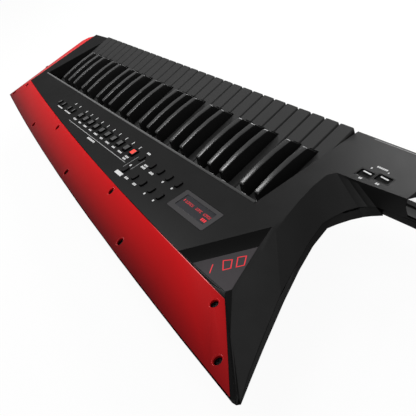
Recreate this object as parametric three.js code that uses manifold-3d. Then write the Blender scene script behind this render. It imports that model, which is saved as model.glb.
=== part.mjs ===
// Shoulder keyboard with 49 keys. Millimetres, +X toward the high notes, -Y toward the player, +Z up.
// Everything is laid out from the outer front top corner of the lowest key, then stood on its feet.
import * as THREE from "three";
import Module from "manifold-3d";

// Fits shared by all pieces. overCut: how far a cutter passes a face. rootIn: how far joined bodies meet.
const seatGap = 0.3;
const slideGap = 0.5;
const overCut = 3;
const rootIn = 1;

// Walls of the case
const caseWall = 3;
const seamWall = 5;
const skinWall = 4.4;

// Heights of the body, measured from the front edge of the white key tops
const panelTop = -4.17;
const windowTop = -10;
const seamTop = -23.5;
const neckRim = -30;
const floorTop = -82;
const footHeight = 5;
const footRadius = 11;
const footSides = 28;

// White keys
const keyTilt = THREE.MathUtils.degToRad(12);
const keyPitch = 23.5;
const whiteCount = 29;
const octaveWhites = 7;
const keyGap = 1;
const keyTail = 166;
const keyBack = keyTail - 11;
const keyLip = 8;
const keyLipDepth = 15;
const keyLipLean = 2.2;
const keyLipSlope = 4;
const keySkirt = 12;
const keyEdge = 0.9;
const keySkin = 2.4;
const keyRib = 1.6;
const keyFrontWall = 4;
const keyBackWall = 3;
const keyDeepest = -20;
const notchHalf = 7.2;
const notchFront = 41.5;

// Pivot near the tail: a round bead on the chassis and a notch over it in each key
const pivotV = keyTail - 4;
const pivotW = -6;
const pivotRadius = 2.5;
const pivotSides = 10;
const beadSteps = 8;
const beadStart = -24;
const beadEnd = 204;
const railFoot = 6;
const railHeight = 5;

// Black keys: where they stand in an octave, half widths, and the top line from front to rear
const blackSteps = [1, 2, 4, 5, 6];
const blackShifts = [-2.3, 2.3, -3, 0, 3];
const blackFootHalf = 5.5;
const blackBodyHalf = 6.1;
const blackTopHalf = 4.3;
const blackRearHalf = 3.7;
const blackShoulder = 1;
const blackWaist = 0.4;
const blackFront = 43.2;
const blackLean = 5.7;
const blackCrown = 1.5;
const blackFrontTop = 12.2;
const blackRearTop = 14.2;
const blackRear = 117.5;
const blackArch = 2;
const blackArchShares = [0.3, 0.65];
const blackTailTop = 2.2;
const blackSkin = 3.8;
const blackSideWall = 1.5;

// Key bay in the case and the chassis in it
const bayGap = 1.5;
const bayLow = -bayGap;
const bayHigh = whiteCount * keyPitch + bayGap;
const bayFront = -20;
const bayLip = 134;
const chassisFront = 12;
const chassisRear = pivotV + 13;
const chassisBottom = -30;
const chassisPlate = 3;
const stopRail = [16, 36];
const stopRailSlope = 2;
const stopRailHeight = 3.5;
const chassisWindowCount = 8;
const chassisWindowEdge = 9;
const chassisWindowPlan = [48, 142];
const chassisWindowRound = 8;
const cheekWallFront = -10;
const bayRear = chassisRear + 1;
// Places beyond the keys are given from the high end of the bay.
const pastBay = ([x, ...rest]) => [bayHigh + x, ...rest];
const footPlaces = [[40, 108], pastBay([-23, 108]), [40, 192], pastBay([-23, 186])];

// Red cover round the long edge and the far end, held by screws
const coverThick = 1.8;
const coverLow = -20;
const coverScrewRadius = 4.2;
const coverScrewSides = 14;
const coverScrews = [
  pastBay([9, 176, -7.5]), [435, 202.4, -7.6], [178, 221, -7.8], [-74.3, 232.8, -12.8],
  pastBay([36, 200, -17]), [522, 221, -16.5], [306, 239.6, -16.6], [91.5, 252.8, -16.8], [-122.7, 262.3, -18],
];

// Button caps: height over the panel, sizes, places
const toneRaise = 2;
const menuRaise = 1.6;
const capUnder = 1;
const stripThick = 1.6;
const stripRound = 3;
const toneCount = 10;
const toneFirst = 418.3;
const tonePitch = 21.6;
const toneRow = 165.6;
const toneWide = 10.5;
const toneDeep = 12.2;
const toneCornerRound = 1;
const toneTop = { down: 1.5, acrossShare: 0.86, alongShare: 0.64 };
const smallTop = { down: 1.2, acrossShare: 0.8, alongShare: 0.75 };
const toneStripSpan = [-7, 7];
const toneStripEnds = 8;
const smallPlaces = [513, 495, 468, 450];
const smallRow = 166.5;
const smallWide = 5;
const smallDeep = 9;
const menuUpper = [[169.4, 165.5], [147.4, 165.5], [125.4, 165.5], [103.2, 165.5], [200, 165.5]];
const menuLower = [[170.2, 190], [147.4, 190], [124.6, 190], [103.2, 190], [198.5, 190]];
const menuWide = 7;
const menuDeep = 9.4;
const menuCornerRound = 2.4;
const menuTop = { down: 0.5, acrossShare: 0.88, alongShare: 0.91 };
const menuRail = [97, 206];
const menuRailHalf = 6.5;

// Display: a bezel that stands a little over the panel round a sunk glass
const displayPlan = [10, 85, 164, 192];
const displayFrame = [7, 8.5, 4.5, 6];
const displayRound = 2;
const glassRound = 1;
const glassSink = 0.4;
const bezelRaise = 0.2;
const bezelSink = 1.2;
const plugInset = 4;
const plugDeep = 3.2;

// Neck
const neckTurn = -438;
const neckReach = 32;
const neckFront = -1;
const neckRearNear = 52.2;
const neckRearFar = 44;
const neckSplit = -118.6;
const neckBottom = -42;
const neckRootDrop = 12;
const neckFlare = 3;
const neckRearFlare = 4;
const neckRearRim = 4.4;
const neckRearEdge = 1.2;
const tipFlare = 3.5;
const tipSteps = 8;
const tipFullness = 0.8;
const edgeRound = 2.4;
const neckArcSteps = 10;
const neckPlaces = [-10, -60, neckSplit, -280, neckTurn];
const neckTipShares = [0.4, 0.7, 0.9, 0.98];
const neckTipKeepShare = 0.03;

// Modulation bar along the rear of the neck: its outer chamfer widens toward the tip
const barNear = -119.5;
const barFar = -400;
const barInner = 37.6;
const barTuck = 1.8;
const barShoulder = -8;
const barBottom = -19.6;
const barOuterNear = 56;
const barOuterFar = 49.5;
const barChamferNear = 3;
const barChamferFar = 8;
const barEdgeNear = -10;
const barEdgeFar = -13;
const barClearBelow = 2.3;
const barWellRear = 70;
const barWellWall = 2.6;

// Octave rockers in their wells, and the seat of the ribbon strip
const rockerPlaces = [[-61.5, 45.5], [-82, 43]];
const rockerWide = 17;
const rockerDeep = 8;
const rockerThick = 4;
const rockerSink = 0.8;
const rockerEdge = 0.6;
const rockerRound = 1.5;
const rockerTravel = 1;
const rockerWellWall = 2.4;
const rockerWellFloor = 2;
const gripSize = [9, 2.4];
const gripShift = 1;
const gripRaise = 0.7;
const gripTop = { down: 0.3, acrossShare: 0.93, alongShare: 0.75 };
const ribbonPlan = [-420, -150, 6, 24];
const ribbonRound = 2;
const ribbonSink = 0.5;

// Strap pins: distance along the pin and radius there
const pinProfile = [[-5, 2.8], [2, 2.8], [4, 3.2], [5.4, 5.2], [6.8, 5.6], [8.2, 4.4]];
const pinSides = 18;
const tipPinBase = [neckTurn - neckReach - 1.5, 21.5, -13.5];
const farPinBase = pastBay([69.2, 115, -20]);
const farPinWay = [1, 0.18, 0];

const keyGrey = 0x424242;
const keyBlack = 0x161616;
const panelGrey = 0x2b2b2b;
const coverRed = 0xc81e1e;
const smoke = 0x484446;
const buttonGrey = 0x4a4a4a;
const zincGrey = 0x8c9094;

const wasm = await Module();
wasm.setup();

const lerp = THREE.MathUtils.lerp;
const clamp = THREE.MathUtils.clamp;
const at = (x, y, z) => new THREE.Vector3(x, y, z);

function numberRange(from, to) {
  const numbers = [];
  for (let n = from; n <= to; n++) {
    numbers.push(n);
  }
  return numbers;
}

// Solids are joined and cut as closed bodies and handed over as plain geometry.
function toSolid(points, triangles) {
  const vertProperties = new Float32Array(points.flatMap((p) => [p.x, p.y, p.z]));
  const triVerts = new Uint32Array(triangles);
  return new wasm.Manifold(new wasm.Mesh({ numProp: 3, vertProperties, triVerts }));
}

function toGeometry(solid) {
  const mesh = solid.getMesh();
  const geometry = new THREE.BufferGeometry();
  geometry.setAttribute("position", new THREE.BufferAttribute(new Float32Array(mesh.vertProperties), 3));
  geometry.setIndex(new THREE.BufferAttribute(new Uint32Array(mesh.triVerts), 1));
  return geometry;
}

const joined = (solids) => solids.reduce((sum, solid) => sum.add(solid));
const cutBy = (solid, cutters) => cutters.reduce((rest, cutter) => rest.subtract(cutter), solid);

function ringNormal(ring) {
  const normal = at(0, 0, 0);
  ring.forEach((p, i) => {
    const q = ring[(i + 1) % ring.length];
    normal.x += (p.y - q.y) * (p.z + q.z);
    normal.y += (p.z - q.z) * (p.x + q.x);
    normal.z += (p.x - q.x) * (p.y + q.y);
  });
  return normal.normalize();
}

function ringCentre(ring) {
  const centre = ring.reduce((sum, p) => sum.add(p), at(0, 0, 0));
  return centre.divideScalar(ring.length);
}

// Triangles that fill a ring, anticlockwise round its normal.
function capTriangles(ring) {
  const normal = ringNormal(ring);
  const lying = Math.abs(normal.z) > Math.abs(normal.x) + Math.abs(normal.y);
  const across = (lying ? at(1, 0, 0) : at(0, 0, 1)).cross(normal).normalize();
  const up = normal.clone().cross(across);
  const flat = ring.map((p) => new THREE.Vector2(p.dot(across), p.dot(up)));
  return THREE.ShapeUtils.triangulateShape(flat, []);
}

// Closed body through rings with equal numbers of points.
function loft(rings) {
  const last = rings[rings.length - 1];
  const along = ringCentre(last).sub(ringCentre(rings[0]));
  const ordered = ringNormal(rings[0]).dot(along) < 0 ? rings.map((ring) => [...ring].reverse()) : rings;
  const count = last.length;
  const triangles = [];
  for (let r = 0; r + 1 < ordered.length; r++) {
    for (let i = 0; i < count; i++) {
      const a = r * count + i;
      const b = r * count + ((i + 1) % count);
      triangles.push(a, b, b + count, a, b + count, a + count);
    }
  }
  const lastStart = (ordered.length - 1) * count;
  for (const [a, b, c] of capTriangles(ordered[0])) {
    triangles.push(a, c, b);
  }
  for (const [a, b, c] of capTriangles(ordered[ordered.length - 1])) {
    triangles.push(a + lastStart, b + lastStart, c + lastStart);
  }
  return toSolid(ordered.flat(), triangles);
}

// Upright body over a plan outline.
function prism(outline, low, high) {
  const ring = (z) => outline.map(([x, y]) => at(x, y, z));
  return loft([ring(low), ring(high)]);
}

function block(x0, x1, y0, y1, z0, z1) {
  return prism([[x0, y0], [x1, y0], [x1, y1], [x0, y1]], z0, z1);
}

// Depth and height profile, pulled along X.
function bar(profile, x0, x1) {
  const ring = (x) => profile.map(([y, z]) => at(x, y, z));
  return loft([ring(x0), ring(x1)]);
}

function circlePoints(cx, cy, radius, sides) {
  const turn = (i) => (i / sides) * Math.PI * 2;
  const points = [];
  for (let i = 0; i < sides; i++) {
    points.push([cx + radius * Math.cos(turn(i)), cy + radius * Math.sin(turn(i))]);
  }
  return points;
}

// Plans are given as left, right, front and rear edge.
function roundedPlan([x0, x1, y0, y1], radius, steps = 3) {
  const outline = [];
  const centres = [[x1 - radius, y1 - radius], [x0 + radius, y1 - radius]];
  centres.push([x0 + radius, y0 + radius], [x1 - radius, y0 + radius]);
  centres.forEach(([cx, cy], quarter) => {
    for (let i = 0; i <= steps; i++) {
      const turn = (quarter + i / steps) * (Math.PI / 2);
      outline.push([cx + radius * Math.cos(turn), cy + radius * Math.sin(turn)]);
    }
  });
  return outline;
}

const grown = ([x0, x1, y0, y1], by) => [x0 - by, x1 + by, y0 - by, y1 + by];
const boxPlan = (x, y, wide, deep) => [x - wide / 2, x + wide / 2, y - deep / 2, y + deep / 2];

// Cap on a plan outline. It draws in toward its top, by its own share across and along.
function cap(outline, low, high, top) {
  const cx = outline.reduce((sum, p) => sum + p[0], 0) / outline.length;
  const cy = outline.reduce((sum, p) => sum + p[1], 0) / outline.length;
  const ring = (z, acrossShare, alongShare) => outline.map(([x, y]) => {
    return at(cx + (x - cx) * acrossShare, cy + (y - cy) * alongShare, z);
  });
  return loft([ring(low, 1, 1), ring(high - top.down, 1, 1), ring(high, top.acrossShare, top.alongShare)]);
}

function quadCurve(start, control, end, share) {
  const back = 1 - share;
  const blend = (k) => back * back * start[k] + 2 * back * share * control[k] + share * share * end[k];
  return [blend(0), blend(1)];
}

// Rim of the horn: two curves in plan, from the neck to the waist and from the waist to the tip.
const rimRoot = [-93, 61];
const rimRootPull = [-74, 74];
const rimWaist = [-65.5, 103.5];
const rimTipPull = [-72, 140];
const rimTip = [-164, 270.5];
const rimHeights = [-29.5, -27.5, -24.3];

function rimPoint(nearNeck, share) {
  const [start, control, end] = nearNeck
    ? [rimRoot, rimRootPull, rimWaist]
    : [rimWaist, rimTipPull, rimTip];
  const [x, y] = quadCurve(start, control, end, share);
  const height = nearNeck
    ? lerp(rimHeights[0], rimHeights[1], share)
    : lerp(rimHeights[1], rimHeights[2], share);
  return [x, y, height];
}

// Point on the straight side between a fold point and its rim point, at a given height.
function onSide(top, rim, height) {
  const share = (top[2] - height) / (top[2] - rim[2]);
  return [lerp(top[0], rim[0], share), lerp(top[1], rim[1], share), height];
}

// Fold of the horn: point, whether its rim point is on the curve near the neck, share of that curve.
const bodyFold = [[-30, 67, panelTop], true, 0.6];
const stripeFold = [[-46, 145, panelTop], false, 0.45];
const windowFoldLow = [[-51, 167, windowTop], false, 0.63];
const windowFoldHigh = [[-76, 214, windowTop], false, 0.82];
const hornFold = [
  [[-60, 57.4, panelTop], true, 0],
  [[-48, 57.9, panelTop], true, 0.17],
  [[-36, 59, panelTop], true, 0.36],
  bodyFold,
  [[-32, 86, panelTop], true, 0.84],
  [[-37, 105, panelTop], true, 1],
  [[-45, 127, panelTop], false, 0.25],
  stripeFold,
  windowFoldLow,
  windowFoldHigh,
  [[-113, 243, -16], false, 0.93],
  [[-157, 268, -19.5], false, 1],
];
const hornSideShare = 0.12;
const hornTip = [[-161, 272, -20], [-161.6, 273.2, -21.4], [-161.9, 273.6, seamTop], [-161.9, 273.4, -24.3]];

// Long edges of the red cover. Each runs on a chord with a shallow parabola.
function bowed(start, end, share, bow) {
  const dx = end[0] - start[0];
  const dy = end[1] - start[1];
  const length = Math.hypot(dx, dy);
  const out = bow * 4 * share * (1 - share);
  return [start[0] + dx * share - (dy / length) * out, start[1] + dy * share + (dx / length) * out];
}

const coverTopStart = [5, 222];
const coverTopEnd = pastBay([11, 166]);
const coverTopBow = 6.8;
const coverLowStart = [-158, 274.5];
const coverLowEnd = pastBay([51, 208]);
const coverLowBow = 10;
const coverLowShares = [0, 0.035, 0.095];
const coverStops = 16;
const lowEdgeAt = (share) => [...bowed(coverLowStart, coverLowEnd, share, coverLowBow), coverLow];
const coverTopEdge = [[-77, 223.5, -12], [-51, 223, windowTop]];
const coverLowEdge = [lowEdgeAt(coverLowShares[0]), lowEdgeAt(coverLowShares[1])];
for (let i = 0; i <= coverStops; i++) {
  const share = i / coverStops;
  coverTopEdge.push([...bowed(coverTopStart, coverTopEnd, share, coverTopBow), panelTop]);
  coverLowEdge.push(lowEdgeAt(lerp(coverLowShares[2], 1, share)));
}
// The cover turns round the far end and comes back along the cheek as a narrow strip.
const stripTopEnd = pastBay([57, 23]);
const stripLowEnd = pastBay([85, 27]);
const stripLowRise = -7.4;
const stripBow = 0.8;
const stripStops = 6;
for (let i = 1; i <= stripStops; i++) {
  const share = i / stripStops;
  coverTopEdge.push([...bowed(coverTopEnd, stripTopEnd, share, stripBow), panelTop]);
  const low = bowed(coverLowEnd, stripLowEnd, share, stripBow);
  coverLowEdge.push([...low, lerp(coverLow, stripLowRise, share)]);
}
coverTopEdge.push(pastBay([61, 8, panelTop]));
coverLowEdge.push(pastBay([78, 15, -6]));
const cheekCorner = [[63, 2, panelTop], [64.5, 0.6, -7], [66, -2, seamTop], [66, -2, neckRim]].map(pastBay);
const coverFootIn = 0.6;
const coverFootHeight = 1.8;

// The outline is a walk round the body, clockwise from above. Each stop has a point on the fold of
// the top, one on the side, one on the parting line and one on the rim of the lower half.
const stops = [];

function addStop(top, side, seam, rim) {
  stops.push({ top: at(...top), side: at(...side), seam: at(...seam), rim: at(...rim) });
}

addStop(...cheekCorner);
for (const x of [bayHigh, neckTurn]) {
  const side = [x, neckFront - edgeRound, panelTop - edgeRound];
  const front = neckFront - neckFlare;
  addStop([x, neckFront, panelTop], side, [x, front, seamTop], [x, front, neckRim]);
}
for (let i = 1; i < tipSteps; i++) {
  const turn = (i / tipSteps) * Math.PI;
  const middle = (neckRearFar + neckFront) / 2;
  const half = (neckRearFar - neckFront) / 2;
  const ring = (grow, z) => [
    neckTurn - (neckReach + grow) * Math.sin(turn) ** tipFullness,
    middle - (half + grow) * Math.cos(turn),
    z,
  ];
  const side = ring(edgeRound, panelTop - edgeRound);
  addStop(ring(0, panelTop), side, ring(tipFlare, seamTop), ring(tipFlare, neckRim));
}
for (const [x, y] of [[neckTurn, neckRearFar], [neckSplit, neckRearNear]]) {
  const side = [x, y + neckRearEdge, panelTop - edgeRound];
  addStop([x, y, panelTop], side, [x, y + neckRearFlare, seamTop], [x, y + neckRearRim, neckRim]);
}
const hornStart = stops.length;
for (const [top, nearNeck, share] of hornFold) {
  const rim = rimPoint(nearNeck, share);
  const side = onSide(top, rim, lerp(top[2], seamTop, hornSideShare));
  addStop(top, side, onSide(top, rim, seamTop), rim);
}
const tipStop = stops.length;
addStop(...hornTip);
const coverStart = stops.length;
coverTopEdge.forEach((top, i) => {
  const low = coverLowEdge[i];
  addStop(top, low, [low[0], low[1], seamTop], [low[0], low[1] - coverFootIn, seamTop - coverFootHeight]);
});
const lastStop = stops.length - 1;

const stopOf = (fold) => hornStart + hornFold.indexOf(fold);
const coverPanelStop = coverStart + 2;
// Two corners of the number window that lie inside the outline.
const windowInner = [-15, 220.3, windowTop];
const windowOuter = [-73, 220, windowTop];
const stripeFacet = [stopOf(stripeFold), stopOf(windowFoldLow), windowInner, coverPanelStop];
const windowFacet = [stopOf(windowFoldLow), stopOf(windowFoldHigh), windowOuter, windowInner];
const topFacets = [
  [...numberRange(0, stopOf(stripeFold)), ...numberRange(coverPanelStop, lastStop)],
  stripeFacet,
  windowFacet,
  [coverPanelStop, windowInner, windowOuter, coverStart, coverStart + 1],
  [...numberRange(stopOf(windowFoldHigh), coverStart), windowOuter],
];

// Body over the walk: rows of stops from the top down, facets on top, flat fill at the bottom.
function bodyFromStops(rowNames, facets) {
  const points = [];
  const triangles = [];
  const rows = rowNames.map((name) => stops.map((stop) => points.push(stop[name]) - 1));
  const inner = new Map();
  const numberOf = (entry) => {
    if (typeof entry === "number") {
      return rows[0][entry];
    }
    if (!inner.has(entry)) {
      inner.set(entry, points.push(at(...entry)) - 1);
    }
    return inner.get(entry);
  };
  const fill = (chain, upward) => {
    const flat = chain.map((n) => new THREE.Vector2(points[n].x, points[n].y));
    for (const [a, b, c] of THREE.ShapeUtils.triangulateShape(flat, [])) {
      const order = upward ? [a, b, c] : [a, c, b];
      triangles.push(...order.map((k) => chain[k]));
    }
  };
  for (const facet of facets) {
    fill(facet.map(numberOf), true);
  }
  for (let r = 0; r + 1 < rows.length; r++) {
    for (let i = 0; i <= lastStop; i++) {
      const j = (i + 1) % stops.length;
      triangles.push(rows[r][i], rows[r][j], rows[r + 1][j], rows[r][i], rows[r + 1][j], rows[r + 1][i]);
    }
  }
  fill(rows[rows.length - 1], false);
  return toSolid(points, triangles);
}

// Step inward in plan, square to the neighbours of a closed chain, never more than twice the wall.
function inwardStep(chain, i, wall) {
  const count = chain.length;
  const here = chain[i];
  const before = chain[(i + count - 1) % count];
  const after = chain[(i + 1) % count];
  const first = at(here.y - before.y, before.x - here.x, 0).normalize();
  const second = at(after.y - here.y, here.x - after.x, 0).normalize();
  const middle = first.clone().add(second).normalize();
  const reach = wall / Math.max(middle.dot(first), 1 / 2);
  return middle.multiplyScalar(reach);
}

// Plate on a strip of the skin between two edge lines. Its edges can be moved out along the strip.
function outBy(from, to, distance) {
  const away = from.clone().sub(to);
  return from.clone().addScaledVector(away, distance / Math.hypot(away.x, away.y));
}

function skinStrip(first, second, spec) {
  const last = first.length - 1;
  const lengthened = (line) => {
    const points = line.map(([x, y, z]) => at(x, y, z));
    const start = outBy(points[0], points[1], spec.endsOut);
    const end = outBy(points[last], points[last - 1], spec.endsOut);
    return [start, ...points.slice(1, last), end];
  };
  const secondLine = lengthened(second);
  const rings = lengthened(first).map((p, i) => {
    const q = secondLine[i];
    const inner = outBy(p, q, spec.firstOut);
    const outer = outBy(q, p, spec.secondOut);
    const lift = (point, z) => point.clone().setZ(point.z + z);
    const { rise, thick } = spec;
    return [lift(inner, rise), lift(outer, rise), lift(outer, -thick), lift(inner, -thick)];
  });
  return loft(rings);
}

const coverPlate = { firstOut: 0, secondOut: 0, endsOut: 0, rise: 0, thick: coverThick };
const coverSeat = skinStrip(coverTopEdge, coverLowEdge, {
  firstOut: seatGap, secondOut: overCut, endsOut: seatGap, rise: overCut, thick: coverThick + seatGap,
});

function edgeCover() {
  const holes = coverScrews.map(([x, y, z]) => {
    const reach = overCut * coverThick;
    return prism(circlePoints(x, y, coverScrewRadius, coverScrewSides), z - reach, z + reach);
  });
  return cutBy(skinStrip(coverTopEdge, coverLowEdge, coverPlate), holes);
}

// Number window: a smoked plate on the stripe and the window facet, inside a thin rim of the case.
const windowRim = 0.5;
const windowFirst = [stripeFold, windowFoldLow, windowFoldHigh].map(([top]) => top);
const windowSecond = [coverTopEdge[2], windowInner, windowOuter];
const windowOuts = (out) => ({ firstOut: out, secondOut: out, endsOut: out });
const numberWindow = () => skinStrip(windowFirst, windowSecond, {
  ...windowOuts(-windowRim - seatGap), rise: 0, thick: coverThick,
});
const windowSeat = skinStrip(windowFirst, windowSecond, {
  ...windowOuts(-windowRim), rise: overCut, thick: coverThick + seatGap,
});

const displayGlass = [
  displayPlan[0] + displayFrame[0], displayPlan[1] - displayFrame[1],
  displayPlan[2] + displayFrame[2], displayPlan[3] - displayFrame[3],
];
const displayPlug = grown(displayPlan, -plugInset);

function displayWindow() {
  const bezelLow = panelTop - bezelSink + seatGap;
  const bezel = prism(roundedPlan(displayPlan, displayRound), bezelLow, panelTop + bezelRaise);
  const plug = prism(roundedPlan(displayPlug, displayRound), panelTop - plugDeep, bezelLow + seatGap);
  const sink = prism(roundedPlan(displayGlass, glassRound), panelTop - glassSink, panelTop + overCut);
  return bezel.add(plug).subtract(sink);
}

const throughSkin = panelTop - skinWall - overCut;
const displaySeat = [
  prism(roundedPlan(grown(displayPlan, seatGap), displayRound), panelTop - bezelSink, panelTop + overCut),
  prism(roundedPlan(grown(displayPlug, seatGap), displayRound), throughSkin, panelTop),
];

// Button caps on the panel, each group on one strip under it
const toneCaps = numberRange(0, toneCount - 1)
  .map((i) => boxPlan(toneFirst - i * tonePitch, toneRow, toneWide, toneDeep));
const smallCaps = smallPlaces.map((x) => boxPlan(x, smallRow, smallWide, smallDeep));
const capPlan = (plan, grow = 0) => roundedPlan(grown(plan, grow), toneCornerRound, 2);
const capBottom = panelTop - skinWall - capUnder;
const stripBottom = capBottom - stripThick;
const stripTop = capBottom + seatGap;

function toneButtons() {
  const caps = toneCaps.map((plan) => cap(capPlan(plan), capBottom, panelTop + toneRaise, toneTop));
  const smalls = smallCaps.map((plan) => cap(capPlan(plan), capBottom, panelTop + toneRaise, smallTop));
  const toneLast = toneFirst - (toneCount - 1) * tonePitch;
  const stripEnds = [toneLast - toneStripEnds, smallPlaces[0] + toneStripEnds];
  const stripPlan = [...stripEnds, toneRow + toneStripSpan[0], toneRow + toneStripSpan[1]];
  return joined([prism(roundedPlan(stripPlan, stripRound), stripBottom, stripTop), ...caps, ...smalls]);
}

const menuPlaces = [...menuUpper, ...menuLower];
const menuPlan = ([x, y], grow = 0) => {
  return roundedPlan(grown(boxPlan(x, y, menuWide, menuDeep), grow), menuCornerRound);
};

function menuButtons() {
  const caps = menuPlaces.map((place) => cap(menuPlan(place), capBottom, panelTop + menuRaise, menuTop));
  const rowHeights = [menuUpper[0][1], menuLower[0][1]];
  const rails = rowHeights.map((y) => {
    const plan = [...menuRail, y - menuRailHalf, y + menuRailHalf];
    return prism(roundedPlan(plan, stripRound), stripBottom, stripTop);
  });
  const bridge = block(menuRail[0] + seatGap, menuRail[1] - seatGap, ...rowHeights, stripBottom, capBottom);
  return joined([bridge, ...rails, ...caps]);
}

const buttonHoles = [
  ...[...toneCaps, ...smallCaps].map((plan) => capPlan(plan, slideGap)),
  ...menuPlaces.map((place) => menuPlan(place, slideGap)),
].map((outline) => prism(outline, throughSkin, panelTop + overCut));

// Octave rockers
const rockerBox = ([x, y]) => boxPlan(x, y, rockerWide, rockerDeep);
const rockerPlan = (place, grow) => roundedPlan(grown(rockerBox(place), grow), rockerRound);
const rockerTop = panelTop - rockerSink;
const rockerBottom = rockerTop - rockerThick;

function octaveRocker(place) {
  const ring = (grow, z) => rockerPlan(place, grow).map(([x, y]) => at(x, y, z));
  const body = loft([ring(0, rockerBottom), ring(0, rockerTop - rockerEdge), ring(-rockerEdge, rockerTop)]);
  const gripEnds = gripSize[1] / 2 - gripTop.down;
  const gripPlan = roundedPlan(boxPlan(place[0], place[1] - gripShift, ...gripSize), gripEnds);
  return body.add(cap(gripPlan, rockerTop - rootIn, rockerTop + gripRaise, gripTop));
}

const wellFloor = rockerBottom - rockerTravel - seatGap;
const rockerWells = rockerPlaces.map((place) => {
  return prism(rockerPlan(place, seatGap), wellFloor, panelTop + overCut);
});
const rockerKeeps = rockerPlaces.map((place) => {
  return prism(rockerPlan(place, rockerWellWall), wellFloor - rockerWellFloor, panelTop);
});

// Modulation bar, its well in the neck and the walls round the well
function barRing(x) {
  const share = (x - barNear) / (barFar - barNear);
  const outer = lerp(barOuterNear, barOuterFar, share);
  const chamfer = lerp(barChamferNear, barChamferFar, share);
  return [
    at(x, barInner, panelTop), at(x, barInner, barShoulder), at(x, barInner + barTuck, barBottom),
    at(x, outer, barBottom), at(x, outer, lerp(barEdgeNear, barEdgeFar, share)),
    at(x, outer - chamfer, panelTop),
  ];
}

const modulationBar = () => loft([barRing(barNear), barRing(barFar)]);
const barWellInner = barInner - barTuck;
const barWellPlan = [barFar - seatGap, barNear + seatGap, barWellInner, barWellRear];
const barWell = block(...barWellPlan, barBottom - barClearBelow, panelTop + overCut);
const barKeepPlan = [barFar - caseWall, neckSplit + rockerWellWall, barWellInner - barWellWall, barWellRear];
const barKeep = block(...barKeepPlan, seamTop - overCut, panelTop);

// Strap pin: stem and round head
function strapPin(base, way) {
  const along = at(...way).normalize();
  const side = along.clone().cross(at(0, 0, 1)).normalize();
  const up = side.clone().cross(along);
  const start = at(...base);
  const ring = (reach, radius) => circlePoints(0, 0, radius, pinSides).map(([a, b]) => {
    return start.clone().addScaledVector(along, reach).addScaledVector(side, a).addScaledVector(up, b);
  });
  return loft(pinProfile.map(([reach, radius]) => ring(reach, radius)));
}

// Stops round the keyboard body, without the neck and without the horn beyond the stripe.
const bodyStops = [
  ...numberRange(stopOf(bodyFold), stopOf(stripeFold)), ...numberRange(coverPanelStop, lastStop), 0,
];
const bodyCorner = [-26, 2];

function hollowRing(row, wall, z) {
  const chain = stops.map((stop) => stop[row]);
  const ring = bodyStops.map((i) => chain[i].clone().add(inwardStep(chain, i, wall)).setZ(z));
  return [...ring, at(...bodyCorner, z)];
}

// Room inside the neck, seen from above. Its sides lean out by the given amount.
const neckRoomRear = [54, 48];
const neckRoomLean = 2;

function neckRoom(z, lean) {
  const front = neckFront + caseWall - lean;
  const nearEnd = bodyCorner[0] + rootIn;
  return [
    at(neckTurn, front, z), at(nearEnd, front, z), at(nearEnd, neckRoomRear[0], z),
    at(neckSplit + rootIn, neckRoomRear[1] + lean, z), at(neckTurn, neckRearFar - caseWall + lean, z),
  ];
}

function upperCase() {
  const body = bodyFromStops(["top", "side", "seam"], topFacets);
  const roomTop = panelTop - skinWall;
  const roomBottom = seamTop - rootIn;
  const bodyRoom = loft([hollowRing("seam", seamWall, roomBottom), hollowRing("top", caseWall, roomTop)]);
  const neckHollow = loft([neckRoom(roomBottom, neckRoomLean), neckRoom(roomTop, 0)]);
  const walls = [[bayLow - caseWall, bayLow], [bayHigh, bayHigh + caseWall]].map(([left, right]) => {
    return block(left, right, cheekWallFront, bayRear, seamTop - overCut, panelTop);
  });
  const rooms = cutBy(bodyRoom.add(neckHollow), [...walls, ...rockerKeeps, barKeep]);
  const bay = block(bayLow, bayHigh, bayFront, bayLip, seamTop - overCut, panelTop + overCut);
  const ribbonSeat = prism(roundedPlan(ribbonPlan, ribbonRound), panelTop - ribbonSink, panelTop + overCut);
  const seats = [coverSeat, windowSeat, ...displaySeat, ribbonSeat];
  const cut = cutBy(body, [rooms, bay, ...seats, ...buttonHoles, ...rockerWells, barWell]);
  return joined([cut, strapPin(tipPinBase, [-1, 0, 0]), strapPin(farPinBase, farPinWay)]);
}

// Lower half: the walk again, drawn in toward a flat underside, more so under the horn.
const floorPastBay = 7;
const floorBox = { left: 10, right: bayHigh + floorPastBay, front: 85, rear: 215 };
const drawnInShares = { belly: 0.3, hornBelly: 0.55, bend: 0.82, floor: 0.9 };
const hornSpan = [-20, -60];
const frontSpan = 60;
const bellyHeight = -50;
const frontBellyHeight = -44;
const bendHeight = 7;
const lowerTop = seamTop - seatGap;
const lowerStops = [...numberRange(hornStart, lastStop), 0];
const lowerFrontCorner = [-20, -4, neckRim];

function towardFloor(point, share) {
  const x = clamp(point.x, floorBox.left, floorBox.right);
  const y = clamp(point.y, floorBox.front, floorBox.rear);
  return [lerp(point.x, x, share), lerp(point.y, y, share)];
}

// The thin horn tip stays solid: rings with a wall leave it out.
const tipIsThin = (i) => i >= tipStop - 1 && i <= coverStart;

function lowerRing(shareAt, heightAt, wall, row) {
  const used = wall > 0 ? lowerStops.filter((i) => !tipIsThin(i)) : lowerStops;
  const chain = [...used.map((i) => stops[i][row]), at(...lowerFrontCorner)];
  return chain.map((point, i) => {
    const moved = point.clone().add(inwardStep(chain, i, wall));
    const [x, y] = towardFloor(moved, shareAt(point));
    return at(x, y, heightAt(point));
  });
}

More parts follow.
